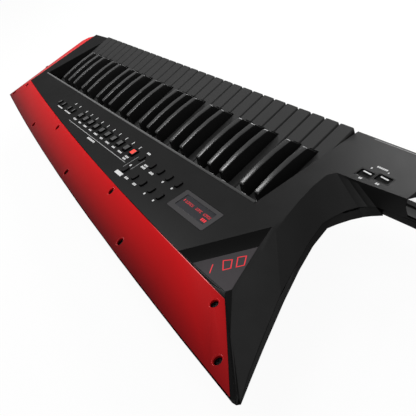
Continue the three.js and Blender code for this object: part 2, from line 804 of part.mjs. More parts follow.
function lowerShell(wall, rise, topHeight) {
  const inHorn = (point) => clamp((point.x - hornSpan[0]) / (hornSpan[1] - hornSpan[0]), 0, 1);
  const inFront = (point) => clamp(1 - point.y / frontSpan, 0, 1);
  const bellyShare = (point) => lerp(drawnInShares.belly, drawnInShares.hornBelly, inHorn(point));
  const bellyAt = (point) => lerp(bellyHeight, frontBellyHeight, inFront(point)) + rise;
  return loft([
    lowerRing(() => drawnInShares.floor, () => floorTop + rise, wall, "rim"),
    lowerRing(() => drawnInShares.bend, () => floorTop + bendHeight + rise, wall, "rim"),
    lowerRing(bellyShare, bellyAt, wall, "rim"),
    lowerRing(() => 0, (point) => point.z, wall, "rim"),
    lowerRing(() => 0, () => topHeight, wall, "seam"),
  ]);
}

// Neck of the lower half: round-bottomed section drawn from the body to the tip, deepest at the
// body, where it carries the line of the belly on.
function neckSection(x, inset, topHeight) {
  const share = clamp((x - neckSplit) / (neckTurn - neckSplit), 0, 1);
  const rear = lerp(neckRearNear, neckRearFar, share) + neckRearRim - inset;
  const front = neckFront - neckFlare + inset;
  const middle = (rear + front) / 2;
  const past = Math.max(neckTurn - x, 0) / (neckReach + tipFlare);
  const keepShare = Math.sqrt(Math.max(1 - past * past, neckTipKeepShare));
  const half = keepShare * (rear - front) / 2;
  const rootShare = clamp((x - neckSplit) / (neckPlaces[1] - neckSplit), 0, 1);
  const bottom = lerp(neckRim, neckBottom - neckRootDrop * rootShare + inset, keepShare);
  const points = [at(x, middle + half, topHeight), at(x, middle - half, topHeight)];
  for (let i = 0; i <= neckArcSteps; i++) {
    const turn = Math.PI + (i / neckArcSteps) * Math.PI;
    points.push(at(x, middle + half * Math.cos(turn), neckRim + (neckRim - bottom) * Math.sin(turn)));
  }
  return points;
}

function lowerNeck(inset, topHeight, tipPlaceCount) {
  const tipPlaces = neckTipShares.slice(0, tipPlaceCount)
    .map((share) => neckTurn - (neckReach + tipFlare) * share);
  return loft([...neckPlaces, ...tipPlaces].map((x) => neckSection(x, inset, topHeight)));
}

// Depth and height of a point that is given on the slope of the keys.
const tilted = (v, w) => [
  v * Math.cos(keyTilt) + w * Math.sin(keyTilt),
  -v * Math.sin(keyTilt) + w * Math.cos(keyTilt),
];
const chassisRests = [[16, 22], [158, 166]];
const chassisRestInset = 3;
const chassisRestEnds = [20, bayHigh - chassisRestInset];
const frontRecess = { rear: 2, bottom: -36, wallBottom: -44 };

function lowerCase() {
  const solidNeck = lowerNeck(0, lowerTop, neckTipShares.length);
  const outer = lowerShell(0, 0, lowerTop).add(solidNeck);
  const roomTop = lowerTop + overCut;
  const room = lowerShell(caseWall, caseWall, roomTop).add(lowerNeck(caseWall, roomTop, 1));
  const [ledgeY, ledgeZ] = tilted(0, chassisBottom - seatGap);
  const restTop = (y) => ledgeZ - Math.tan(keyTilt) * (y - ledgeY);
  const rests = chassisRests.map(([y0, y1]) => {
    const profile = [[y0, floorTop + rootIn], [y1, floorTop + rootIn], [y1, restTop(y1)], [y0, restTop(y0)]];
    return bar(profile, ...chassisRestEnds);
  });
  const ribs = joined(rests).intersect(lowerShell(rootIn, rootIn, lowerTop));
  const { rear, bottom, wallBottom } = frontRecess;
  const recess = block(bayLow, bayHigh, bayFront, rear, bottom, lowerTop + overCut);
  const frontWall = block(bayLow - rootIn, bayHigh + rootIn, rear, rear + caseWall, wallBottom, lowerTop);
  const front = frontWall.intersect(lowerShell(0, 0, lowerTop));
  const feet = footPlaces.map(([x, y]) => {
    return prism(circlePoints(x, y, footRadius, footSides), floorTop - footHeight, floorTop + rootIn);
  });
  return joined([cutBy(outer, [room, recess]), ribs, front, ...feet]);
}

// Chassis under the keys: plate with windows, stop rail in front, pivot rail with a round bead.
function keyChassis() {
  const plateTop = chassisBottom + chassisPlate;
  const bead = numberRange(0, beadSteps).map((i) => {
    const turn = THREE.MathUtils.degToRad(lerp(beadStart, beadEnd, i / beadSteps));
    return [pivotV + pivotRadius * Math.cos(turn), pivotW + pivotRadius * Math.sin(turn)];
  });
  const profile = [
    [chassisFront, chassisBottom], [chassisRear, chassisBottom], [chassisRear, plateTop],
    [pivotV + railFoot, plateTop], [pivotV + pivotRadius, plateTop + railHeight], ...bead,
    [pivotV - pivotRadius, plateTop + railHeight], [pivotV - railFoot, plateTop],
    [stopRail[1], plateTop], [stopRail[1] - stopRailSlope, plateTop + stopRailHeight],
    [stopRail[0] + stopRailSlope, plateTop + stopRailHeight], [stopRail[0], plateTop],
    [chassisFront, plateTop],
  ];
  const pitch = (whiteCount * keyPitch) / chassisWindowCount;
  const windows = numberRange(0, chassisWindowCount - 1).map((i) => {
    const ends = [i * pitch + chassisWindowEdge, (i + 1) * pitch - chassisWindowEdge];
    const plan = roundedPlan([...ends, ...chassisWindowPlan], chassisWindowRound);
    return prism(plan, chassisBottom - overCut, plateTop + rootIn);
  });
  return cutBy(bar(profile, keyGap, whiteCount * keyPitch - keyGap), windows);
}

const blackPlaces = [];
for (let first = 0; first + octaveWhites < whiteCount; first += octaveWhites) {
  blackSteps.forEach((step, i) => blackPlaces.push((first + step) * keyPitch + blackShifts[i]));
}
const pivotNotch = (x0, x1) => bar(circlePoints(pivotV, pivotW, pivotRadius + seatGap, pivotSides), x0, x1);

function whiteKey(index) {
  const left = index * keyPitch + keyGap / 2;
  const right = left + keyPitch - keyGap;
  const profile = [
    [keyLipLean, -keyLip], [keyLipDepth, -keyLip], [keyLipDepth + keyLipSlope, -keySkirt],
    [keyBack, -keySkirt], [keyBack, pivotW], [keyTail, pivotW], [keyTail, -keyEdge],
    [keyTail - keyEdge, 0], [keyEdge, 0], [0, -keyEdge],
  ];
  const near = blackPlaces.filter((x) => x + notchHalf > left && x - notchHalf < right);
  const notches = near.map((x) => {
    return block(x - notchHalf, x + notchHalf, notchFront, keyTail + overCut, keyDeepest, overCut);
  });
  const middle = (left + right) / 2;
  const tailLeft = Math.max(left, ...near.filter((x) => x < middle).map((x) => x + notchHalf));
  const tailRight = Math.min(right, ...near.filter((x) => x > middle).map((x) => x - notchHalf));
  const hollows = [
    block(left + keyRib, right - keyRib, keyFrontWall, notchFront - keyRib, keyDeepest, -keySkin),
    block(
      tailLeft + keyRib, tailRight - keyRib, notchFront + keyRib, keyBack - keyBackWall, keyDeepest, -keySkin,
    ),
  ];
  const pivot = pivotNotch(left - rootIn, right + rootIn);
  return cutBy(bar(profile, left, right), [...notches, ...hollows, pivot]);
}

// Black key: height of the top and half its width at each depth, from the front to the rear.
function blackKey(centre) {
  const crownFront = blackFront + blackLean;
  const crownRear = blackRear + 2 * blackShoulder;
  const archStart = crownFront + blackCrown;
  const arch = blackArchShares.map((share) => [
    lerp(archStart, blackRear, share),
    lerp(blackFrontTop, blackRearTop, share) + 4 * blackArch * share * (1 - share),
    lerp(blackTopHalf, blackRearHalf, share),
  ]);
  const stations = [
    [blackFront, blackShoulder, blackBodyHalf - blackWaist],
    [crownFront, blackFrontTop - keyEdge, blackTopHalf - blackWaist / 2],
    [archStart, blackFrontTop, blackTopHalf],
    ...arch,
    [blackRear, blackRearTop, blackRearHalf],
    [crownRear, blackRearTop - blackShoulder, blackRearHalf],
    [crownRear + blackSideWall * 2, blackTailTop, blackFootHalf],
    [keyBack, blackTailTop, blackFootHalf],
  ];
  const rings = stations.map(([v, top, topHalf]) => {
    const rightSide = [
      [blackFootHalf, -keySkirt], [blackBodyHalf, Math.min(blackWaist, top - blackShoulder / 2)],
      [topHalf, top - blackShoulder / 2], [topHalf - blackShoulder, top],
    ];
    const leftSide = rightSide.map(([u, w]) => [-u, w]).reverse();
    return [...rightSide, ...leftSide].map(([u, w]) => at(centre + u, v, w));
  });
  const tail = block(
    centre - blackFootHalf, centre + blackFootHalf, keyBack - rootIn, keyTail, pivotW, blackTailTop,
  );
  const roomHalf = blackFootHalf - blackSideWall;
  const roomPlan = [centre - roomHalf, centre + roomHalf, blackFront + blackSkin, keyBack - keyBackWall];
  const room = block(...roomPlan, keyDeepest, blackTailTop - blackSkin);
  return cutBy(loft(rings).add(tail), [room, pivotNotch(centre - notchHalf, centre + notchHalf)]);
}

// Everything goes into one group, tilted pieces turned to their slope, then stood on the feet.
const keytar = new THREE.Group();
keytar.name = "keytar";
const slopeTurn = new THREE.Matrix4().makeRotationX(-keyTilt);

function place(name, solid, colour, look, onSlope = false) {
  const geometry = toGeometry(solid);
  if (onSlope) {
    geometry.applyMatrix4(slopeTurn);
  }
  geometry.computeVertexNormals();
  const mesh = new THREE.Mesh(geometry, new THREE.MeshStandardMaterial({ color: colour, ...look }));
  mesh.name = name;
  keytar.add(mesh);
}

const matt = { metalness: 0, roughness: 0.55 };
const satin = { metalness: 0, roughness: 0.35 };
const gloss = { metalness: 0, roughness: 0.2 };
const sheetMetal = { metalness: 0.8, roughness: 0.4 };

place("upper_case", upperCase(), panelGrey, matt);
place("lower_case", lowerCase(), panelGrey, matt);
place("edge_cover", edgeCover(), coverRed, satin);
place("number_window", numberWindow(), smoke, gloss);
place("display_window", displayWindow(), smoke, gloss);
place("key_chassis", keyChassis(), zincGrey, sheetMetal, true);
place("tone_buttons", toneButtons(), buttonGrey, matt);
place("menu_buttons", menuButtons(), keyBlack, matt);
place("octave_up_switch", octaveRocker(rockerPlaces[0]), keyBlack, matt);
place("octave_down_switch", octaveRocker(rockerPlaces[1]), keyBlack, matt);
place("modulation_bar", modulationBar(), keyBlack, gloss);

const twoDigits = (number) => String(number).padStart(2, "0");
for (let i = 0; i < whiteCount; i++) {
  place(`white_key_${twoDigits(i + 1)}`, whiteKey(i), keyGrey, satin, true);
}
blackPlaces.forEach((x, i) => {
  place(`black_key_${twoDigits(i + 1)}`, blackKey(x), keyBlack, gloss, true);
});

const box = new THREE.Box3().setFromObject(keytar);
const middleX = (box.min.x + box.max.x) / 2;
const middleY = (box.min.y + box.max.y) / 2;
for (const mesh of keytar.children) {
  mesh.geometry.translate(-middleX, -middleY, -box.min.z);
}

export default keytar;
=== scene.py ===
import bpy, bmesh, math
from mathutils import Vector, Matrix


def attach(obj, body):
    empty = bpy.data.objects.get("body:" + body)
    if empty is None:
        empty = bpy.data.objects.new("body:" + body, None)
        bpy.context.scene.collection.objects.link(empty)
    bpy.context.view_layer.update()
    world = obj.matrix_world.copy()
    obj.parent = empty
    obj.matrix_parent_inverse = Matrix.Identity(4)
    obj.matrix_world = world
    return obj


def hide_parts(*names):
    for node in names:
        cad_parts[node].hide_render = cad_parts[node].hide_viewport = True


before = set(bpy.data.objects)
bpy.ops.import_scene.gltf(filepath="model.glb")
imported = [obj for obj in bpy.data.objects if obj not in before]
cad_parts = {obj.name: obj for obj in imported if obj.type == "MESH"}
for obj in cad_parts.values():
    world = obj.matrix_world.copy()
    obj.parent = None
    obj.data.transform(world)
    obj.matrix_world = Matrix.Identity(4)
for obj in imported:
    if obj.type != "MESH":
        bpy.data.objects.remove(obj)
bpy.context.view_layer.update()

# places are given in the case's own millimetres: x along the keys, y toward the red cover, z up,
# counted from the outer front top corner of the lowest key
caseOrigin = (-143.25, -135.25, 87.0)
panelZ = -4.17
keyTilt = math.radians(12)
keyCount = {"white": 29, "black": 20}
whiteNames = ["white_key_%02d" % (i + 1) for i in range(keyCount["white"])]
blackNames = ["black_key_%02d" % (i + 1) for i in range(keyCount["black"])]


def spot(x, y, z):
    return Vector(((x + caseOrigin[0]) / 1000, (y + caseOrigin[1]) / 1000, (z + caseOrigin[2]) / 1000))


def srgb(hexText):
    parts = [int(hexText[i:i + 2], 16) / 255 for i in (0, 2, 4)]
    return tuple(((c + 0.055) / 1.055) ** 2.4 if c > 0.04045 else c / 12.92 for c in parts) + (1.0,)


# small helpers for the materials; the values of every noise are its scale, detail and roughness
def link(tree, a, b):
    tree.links.new(a, b)


def newFinish(name, base, rough, metal=0.0, specular=0.5):
    mat = bpy.data.materials.new(name)
    mat.use_nodes = True
    tree = mat.node_tree
    shader = tree.nodes["Principled BSDF"]
    shader.inputs["Base Color"].default_value = base
    shader.inputs["Roughness"].default_value = rough
    shader.inputs["Metallic"].default_value = metal
    shader.inputs["Specular IOR Level"].default_value = specular
    return mat, tree, shader


def objectCoords(tree, scale=(1, 1, 1)):
    coords = tree.nodes.new("ShaderNodeTexCoord")
    mapping = tree.nodes.new("ShaderNodeMapping")
    mapping.inputs["Scale"].default_value = scale
    link(tree, coords.outputs["Object"], mapping.inputs["Vector"])
    return mapping.outputs["Vector"]


def objectAxes(tree):
    coords = tree.nodes.new("ShaderNodeTexCoord")
    split = tree.nodes.new("ShaderNodeSeparateXYZ")
    link(tree, coords.outputs["Object"], split.inputs["Vector"])
    return split.outputs


def noise(tree, vector, scale, detail=2.0, roughness=0.5):
    node = tree.nodes.new("ShaderNodeTexNoise")
    node.inputs["Scale"].default_value = scale
    node.inputs["Detail"].default_value = detail
    node.inputs["Roughness"].default_value = roughness
    link(tree, vector, node.inputs["Vector"])
    return node.outputs["Fac"]


def ramp(tree, value, stops):
    node = tree.nodes.new("ShaderNodeValToRGB")
    elements = node.color_ramp.elements
    while len(elements) < len(stops):
        elements.new(0.5)
    for element, (place, colour) in zip(elements, stops):
        element.position = place
        element.color = colour
    link(tree, value, node.inputs["Fac"])
    return node.outputs["Color"]


def spread(tree, value, low, high, start=0.0, end=1.0):
    # start to end becomes low to high
    node = tree.nodes.new("ShaderNodeMapRange")
    for socket, number in (("From Min", start), ("From Max", end), ("To Min", low), ("To Max", high)):
        node.inputs[socket].default_value = number
    link(tree, value, node.inputs["Value"])
    return node.outputs["Result"]


def combine(tree, operation, *values):
    node = tree.nodes.new("ShaderNodeMath")
    node.operation = operation
    for socket, value in zip(node.inputs, values):
        if isinstance(value, (int, float)):
            socket.default_value = value
        else:
            link(tree, value, socket)
    return node.outputs["Value"]


def bump(tree, shader, height, strength, distance):
    node = tree.nodes.new("ShaderNodeBump")
    node.inputs["Strength"].default_value = strength
    node.inputs["Distance"].default_value = distance
    link(tree, height, node.inputs["Height"])
    link(tree, node.outputs["Normal"], shader.inputs["Normal"])


def shade(colour, factor):
    return tuple(c * factor for c in colour[:3]) + (1.0,)


toneBand = {"dark": 0.3, "light": 0.7}


def slowDrift(tree, shader, value, base, variation):
    stops = [(toneBand["dark"], shade(base, 1 - variation)), (toneBand["light"], shade(base, 1 + variation))]
    link(tree, ramp(tree, value, stops), shader.inputs["Base Color"])


def calmSheen(tree, shader, level, power):
    # gloss that fades where the surface is seen at a flat angle, as on fine-grained mouldings
    weight = tree.nodes.new("ShaderNodeLayerWeight")
    weight.inputs["Blend"].default_value = 0.5
    steep = combine(tree, "SUBTRACT", 1.0, weight.outputs["Facing"])
    curve = combine(tree, "POWER", steep, power)
    link(tree, combine(tree, "MULTIPLY", curve, level), shader.inputs["Specular IOR Level"])


mouldGrain = {
    "drift": (14, 3), "uneven": (60, 4), "swing": 0.06,
    "grain": (1800, 2, 0.7), "grainDepth": 0.00006,
}


def mouldedPlastic(name, hexText, rough, grain=0.35, sheen=0.12, variation=0.10, calm=2.0):
    # fine spark-eroded grain, a slow drift in tone, roughness that isn't quite even
    base = srgb(hexText)
    mat, tree, shader = newFinish(name, base, rough, specular=sheen)
    vector = objectCoords(tree)
    swing = mouldGrain["swing"]
    slowDrift(tree, shader, noise(tree, vector, *mouldGrain["drift"]), base, variation)
    uneven = noise(tree, vector, *mouldGrain["uneven"])
    link(tree, spread(tree, uneven, rough - swing, rough + swing), shader.inputs["Roughness"])
    if calm > 0:
        calmSheen(tree, shader, sheen, calm)
    bump(tree, shader, noise(tree, vector, *mouldGrain["grain"]), grain, mouldGrain["grainDepth"])
    return mat


glossWear = {
    "drift": (9, 2), "variation": 0.06, "smudges": (45, 5, 0.65),
    "waves": (30, 1), "waveDepth": 0.0002,
}


def glossPlastic(name, hexText, rough, sheen=0.2, smudge=0.05, calm=0.0, wave=0.04):
    # polished moulding: faint handling marks in the gloss and very long waves in the surface
    base = srgb(hexText)
    mat, tree, shader = newFinish(name, base, rough, specular=sheen)
    vector = objectCoords(tree)
    slowDrift(tree, shader, noise(tree, vector, *glossWear["drift"]), base, glossWear["variation"])
    smudges = noise(tree, vector, *glossWear["smudges"])
    link(tree, spread(tree, smudges, rough - smudge / 2, rough + smudge), shader.inputs["Roughness"])
    if wave > 0:
        bump(tree, shader, noise(tree, vector, *glossWear["waves"]), wave, glossWear["waveDepth"])
    if calm > 0:
        calmSheen(tree, shader, sheen, calm)
    return mat


inkWear = {"rough": 0.55, "sheen": 0.1, "patches": (700, 3), "worn": 0.9, "from": 0.25, "to": 0.6}


def printedInk(name, hexText):
    base = srgb(hexText)
    mat, tree, shader = newFinish(name, base, inkWear["rough"], specular=inkWear["sheen"])
    patches = noise(tree, objectCoords(tree), *inkWear["patches"])
    stops = [(inkWear["from"], shade(base, inkWear["worn"])), (inkWear["to"], base)]
    link(tree, ramp(tree, patches, stops), shader.inputs["Base Color"])
    return mat


lampWear = {
    "unlit": 0.25, "rough": 0.35, "sheen": 0.05,
    "patches": (500, 2), "dim": 0.85, "from": 0.2, "to": 0.7,
}


def litInk(name, hexText, strength):
    # lamp behind tinted plastic: brighter in the middle of the grain
    base = srgb(hexText)
    unlit = shade(base, lampWear["unlit"])
    mat, tree, shader = newFinish(name, unlit, lampWear["rough"], specular=lampWear["sheen"])
    patches = noise(tree, objectCoords(tree), *lampWear["patches"])
    stops = [(lampWear["from"], shade(base, lampWear["dim"])), (lampWear["to"], base)]
    link(tree, ramp(tree, patches, stops), shader.inputs["Emission Color"])
    shader.inputs["Emission Strength"].default_value = strength
    return mat


steelGrain = {
    "stretch": (1, 40, 40),  # the streaks run long in the rolling direction
    "streaks": (30, 4), "smoother": 0.08, "rougher": 0.12,
    "ripple": (60, 3), "rippleStrength": 0.1, "rippleDepth": 0.00005,
}


def rolledSteel(name, hexText, rough):
    mat, tree, shader = newFinish(name, srgb(hexText), rough, metal=1.0)
    vector = objectCoords(tree, steelGrain["stretch"])
    streaks = noise(tree, vector, *steelGrain["streaks"])
    low, high = rough - steelGrain["smoother"], rough + steelGrain["rougher"]
    link(tree, spread(tree, streaks, low, high), shader.inputs["Roughness"])
    ripple = noise(tree, vector, *steelGrain["ripple"])
    bump(tree, shader, ripple, steelGrain["rippleStrength"], steelGrain["rippleDepth"])
    return mat


# top, middle and low reds are painted shade: the red darkens down the cover's height
coverLook = {
    "top": "cc161a", "middle": "aa1417", "low": "600f12", "rough": 0.4, "sheen": 0.015,
    "topZ": -4.2, "lowZ": -20, "stops": (0.04, 0.5, 1.0), "mottle": (6, 2), "mottleShare": 0.08,
    "paintedLightFrom": 0, "paintedLightTo": -140, "paintedLightShift": 0.23,  # the horn end keeps its light tone further down
    "wear": (50, 4), "smoother": 0.04, "rougher": 0.06,
    "peel": (900, 2), "peelStrength": 0.05, "peelDepth": 0.00005,
}


def coverPaint():
    # red lacquer with painted shade that goes darker from the upper edge to the lower one, and painted light
    # that keeps the horn end lighter further down
    look = coverLook
    rough = look["rough"]
    mat, tree, shader = newFinish("cover_lacquer", srgb(look["middle"]), rough, specular=look["sheen"])
    axes = objectAxes(tree)
    vector = objectCoords(tree)
    height = spread(tree, axes["Z"], 0, 1, spot(0, 0, look["topZ"]).z, spot(0, 0, look["lowZ"]).z)
    mottle = noise(tree, vector, *look["mottle"])
    drift = combine(tree, "MULTIPLY_ADD", mottle, look["mottleShare"], height)
    paintedLightFrom, paintedLightTo = spot(look["paintedLightFrom"], 0, 0).x, spot(look["paintedLightTo"], 0, 0).x
    # painted light: toward the horn end the colour is shifted lighter
    paintedLightEnd = spread(tree, axes["X"], 0, -look["paintedLightShift"], paintedLightFrom, paintedLightTo)
    colours = [(place, srgb(look[tone])) for place, tone in zip(look["stops"], ("top", "middle", "low"))]
    link(tree, ramp(tree, combine(tree, "ADD", drift, paintedLightEnd), colours), shader.inputs["Base Color"])
    wear = noise(tree, vector, *look["wear"])
    low, high = rough - look["smoother"], rough + look["rougher"]
    link(tree, spread(tree, wear, low, high), shader.inputs["Roughness"])
    bump(tree, shader, noise(tree, vector, *look["peel"]), look["peelStrength"], look["peelDepth"])
    return mat


rimLook = {
    "base": "b0191d", "rough": 0.35, "lowZ": -20, "topZ": -4, "wear": (40, 3), "wearShare": 0.06,
    "steps": [(0.1, "0a0808"), (0.18, "6a1215"), (0.5, "b81a1e")],
    "plainTop": "c81c20", "paintedHighlightTop": "ff9090", "topAt": 0.66, "plainFrom": 75, "paintedHighlightFrom": 10,
}


def coverRim():
    # rounded edge of the cover: painted shade, black at the bottom, and a painted highlight at the top,
    # brightest near the horn
    look = rimLook
    mat, tree, shader = newFinish("cover_rim", srgb(look["base"]), look["rough"], specular=0.0)
    axes = objectAxes(tree)
    height = spread(tree, axes["Z"], 0, 1, spot(0, 0, look["lowZ"]).z, spot(0, 0, look["topZ"]).z)
    wear = noise(tree, objectCoords(tree), *look["wear"])
    # worn is mostly the height, for the painted shade and painted highlight, with a little noise of real wear
    worn = combine(tree, "MULTIPLY_ADD", wear, look["wearShare"], height)
    steps = [(place, srgb(colour)) for place, colour in look["steps"]]
    along = spread(tree, axes["X"], 0, 1, spot(look["plainFrom"], 0, 0).x, spot(look["paintedHighlightFrom"], 0, 0).x)
    mix = tree.nodes.new("ShaderNodeMix")
    mix.data_type = "RGBA"
    link(tree, along, mix.inputs[0])
    for socket, tone in ((6, "plainTop"), (7, "paintedHighlightTop")):
        link(tree, ramp(tree, worn, steps + [(look["topAt"], srgb(look[tone]))]), mix.inputs[socket])
    link(tree, mix.outputs[2], shader.inputs["Base Color"])
    return mat


finishes = {
    "case": mouldedPlastic("case_moulding", "181818", 0.34, sheen=0.14, calm=3.0),
    # lighter than the case: a painted highlight on its rounded edges, with real gloss
    "caseEdge": glossPlastic("case_edge_painted_highlight", "2e2e2e", 0.3, sheen=0.4),
    "neck": mouldedPlastic("case_under_moulding", "161616", 0.5, variation=0.08, sheen=0.06),
    "hornStripShade": mouldedPlastic("horn_strip_painted_shade", "0b0b0b", 0.5, sheen=0.03),
    "cover": coverPaint(),
    "coverRim": coverRim(),
    "coverLip": glossPlastic("cover_hole_lip", "d8262a", 0.3, sheen=0.3),
    "chassis": rolledSteel("chassis_sheet", "8c9094", 0.4),
    "keyGrey": glossPlastic("key_grey_moulding", "313131", 0.42, sheen=0.1, calm=2.0),
    # near black: painted shade in the gaps between keys and on the lower case's edges
    "paintedShadeRim": glossPlastic("edge_painted_shade", "0a0a0a", 0.5, sheen=0.02),
    "keyBlack": glossPlastic("key_black_moulding", "202020", 0.25, sheen=0.2, smudge=0.01, calm=0.8, wave=0.0),
    "smoke": glossPlastic("display_smoke", "26262a", 0.3, sheen=0.05),
    "bezel": mouldedPlastic("display_bezel", "424142", 0.5, grain=0.2, sheen=0.05),
    "stripe": glossPlastic("stripe_gloss", "0b0b0b", 0.35, sheen=0.02),
    "numberPlate": mouldedPlastic("number_plate_smoke", "434042", 0.5, grain=0.15, sheen=0.04),
    "button": mouldedPlastic("button_rubber", "505050", 0.6, grain=0.5, sheen=0.05),
    # near black: painted shade on the button sides and at the near end of the bar
    "paintedShadeBlack": mouldedPlastic("painted_shade_black", "080808", 0.6, grain=0.5, sheen=0.03),
    "rockerGrey": mouldedPlastic("rocker_moulding", "101010", 0.5, grain=0.3, sheen=0.02),
    "bar": glossPlastic("bar_gloss", "0e0e0e", 0.15, sheen=0.3),
    "ribbon": mouldedPlastic("ribbon_film", "181819", 0.35, grain=0.1, sheen=0.05),
    "lip": mouldedPlastic("lip_bead_painted_highlight", "646464", 0.45, grain=0.2, sheen=0.05),
    "edgeHighlight": printedInk("neck_edge_painted_highlight", "8a8a8a"),
    "ink": printedInk("panel_ink", "d0d0d0"),
    "inkGrey": printedInk("panel_ink_grey", "9a9a9a"),
    "lamp": litInk("lamp_red", "ff4a3e", 0.95),
    "digit": litInk("digit_red", "e83842", 0.85),
    "screw": rolledSteel("screw_black_oxide", "0c0c0d", 0.45),
    "rubber": mouldedPlastic("foot_rubber", "1c1c1c", 0.85, grain=0.8, sheen=0.05),
}
print("finishes ready:", len(finishes))


# mesh helpers
def addPiece(name, verts, faces, finish, body, smooth=False):
    mesh = bpy.data.meshes.new(name)
    mesh.from_pydata([tuple(v) for v in verts], [], faces)
    mesh.validate()
    obj = bpy.data.objects.new(name, mesh)
    bpy.context.scene.collection.objects.link(obj)
    mesh.materials.append(finishes[finish])
    for face in mesh.polygons:
        face.use_smooth = smooth
    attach(obj, body)
    return obj


edgeRule = {"sharp": 28, "flat": 0.6, "crispBend": 4, "merge": 0.00001}  # degrees, but merge in metres


def softEdges(obj, width, segments=2, angle=edgeRule["sharp"], rimSlot=-1, chosen=False):
    bevel = obj.modifiers.new("edges", "BEVEL")
    bevel.width = width / 1000
    bevel.segments = segments
    bevel.limit_method = "WEIGHT" if chosen else "ANGLE"
    bevel.angle_limit = math.radians(angle)
    bevel.harden_normals = False
    bevel.use_clamp_overlap = True
    bevel.material = rimSlot
    for face in obj.data.polygons:
        face.use_smooth = True
    weighted = obj.modifiers.new("normals", "WEIGHTED_NORMAL")
    weighted.keep_sharp = True


def within(point, zones):
    for x0, y0, x1, y1 in zones:
        low, high = spot(x0, y0, 0), spot(x1, y1, 0)
        if low.x < point.x < high.x and low.y < point.y < high.y:
            return True
    return False


def chooseEdges(shape, longest, spared):
    # long sharp edges get rounded; short ones, and all in the spared rectangles, stay crisp
    weight = shape.edges.layers.float.new("bevel_weight_edge")
    for edge in shape.edges:
        if len(edge.link_faces) != 2:
            continue
        bend = math.degrees(edge.calc_face_angle(0))
        middle = (edge.verts[0].co + edge.verts[1].co) / 2
        if within(middle, spared):
            edge.smooth = bend < edgeRule["crispBend"]
        elif bend > edgeRule["sharp"] and edge.calc_length() < longest / 1000:
            edge.smooth = False
        elif bend > edgeRule["sharp"]:
            edge[weight] = 1.0


def dressNode(node, finish, body, width, segments=2, rim=None, reshape=None, longest=0, spared=()):
    # takes the frame's own solid, joins its flat facets and rounds its edges
    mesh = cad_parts[node].data.copy()
    shape = bmesh.new()
    shape.from_mesh(mesh)
    bmesh.ops.remove_doubles(shape, verts=shape.verts, dist=edgeRule["merge"])
    flat = math.radians(edgeRule["flat"])
    bmesh.ops.dissolve_limit(shape, angle_limit=flat, verts=shape.verts, edges=shape.edges)
    if reshape:
        reshape(shape)
    if longest:
        chooseEdges(shape, longest, spared)
    shape.to_mesh(mesh)
    shape.free()
    if not reshape:
        mesh.polygons.foreach_set("material_index", [0] * len(mesh.polygons))
    mesh.materials.clear()
    mesh.materials.append(finishes[finish])
    if rim:
        mesh.materials.append(finishes[rim])
    obj = bpy.data.objects.new(node + "_shell", mesh)
    bpy.context.scene.collection.objects.link(obj)
    softEdges(obj, width, segments, rimSlot=1 if rim and longest else -1, chosen=bool(longest))
    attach(obj, body)
    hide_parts(node)
    return obj


# the two cases, the red cover, the sheet inside
caseLook = {
    "upperEdge": 0.7, "lowerEdge": 1.0, "coverEdge": 0.7, "chassisEdge": 0.4, "longest": 4,
    "controlZones": [(-95, 34, -50, 54), (88, 150, 530, 205), (4, 160, 92, 196), (-410, 5, -145, 25)],
    "rootZone": [(-125, 57, -30, 112)],
}
longest = caseLook["longest"]
# the upper case's rounded edges take the lighter caseEdge colour, a painted highlight
upperShell = dressNode("upper_case", "case", "case", caseLook["upperEdge"], 3,
                       rim="caseEdge", longest=longest, spared=caseLook["controlZones"])
# the lower case's rounded edges get the near-black painted shade
lowerShell = dressNode("lower_case", "neck", "case", caseLook["lowerEdge"],
                       rim="paintedShadeRim", longest=longest, spared=caseLook["rootZone"])
coverShell = dressNode("edge_cover", "cover", "case", caseLook["coverEdge"],
                       rim="coverRim", longest=longest)
dressNode("key_chassis", "chassis", "case", caseLook["chassisEdge"])

# painted shade: the narrow strip of the horn beside the cover is coloured darker where it lies in shade
hornStripShade = {"farthest": -70, "behind": 215, "below": -8, "steepest": 0.97}
upperShell.data.materials.append(finishes["hornStripShade"])
corner = spot(hornStripShade["farthest"], hornStripShade["behind"], hornStripShade["below"])
for face in upperShell.data.polygons:
    c = face.center
    if c.x < corner.x and c.y > corner.y and c.z < corner.z and face.normal.z > hornStripShade["steepest"]:
        face.material_index = 2
print("cases dressed")

# keys
keyLook = {
    "whiteEdge": 0.25, "blackEdge": 0.35, "side": 1.3, "topBand": 2,
    "corner": 4.4, "cornerCuts": (25, 50, 72),  # radius, and the directions of the cuts in degrees
}


def cutOff(shape, onPlane, outward, slotIndex):
    geometry = list(shape.verts) + list(shape.edges) + list(shape.faces)
    cut = bmesh.ops.bisect_plane(shape, geom=geometry, dist=1e-7, plane_co=onPlane,
                                 plane_no=outward, clear_outer=True)
    openEdges = [e for e in cut["geom_cut"] if isinstance(e, bmesh.types.BMEdge)]
    if openEdges:
        filled = bmesh.ops.edgeloop_fill(shape, edges=openEdges)
        for face in filled["faces"]:
            face.material_index = slotIndex


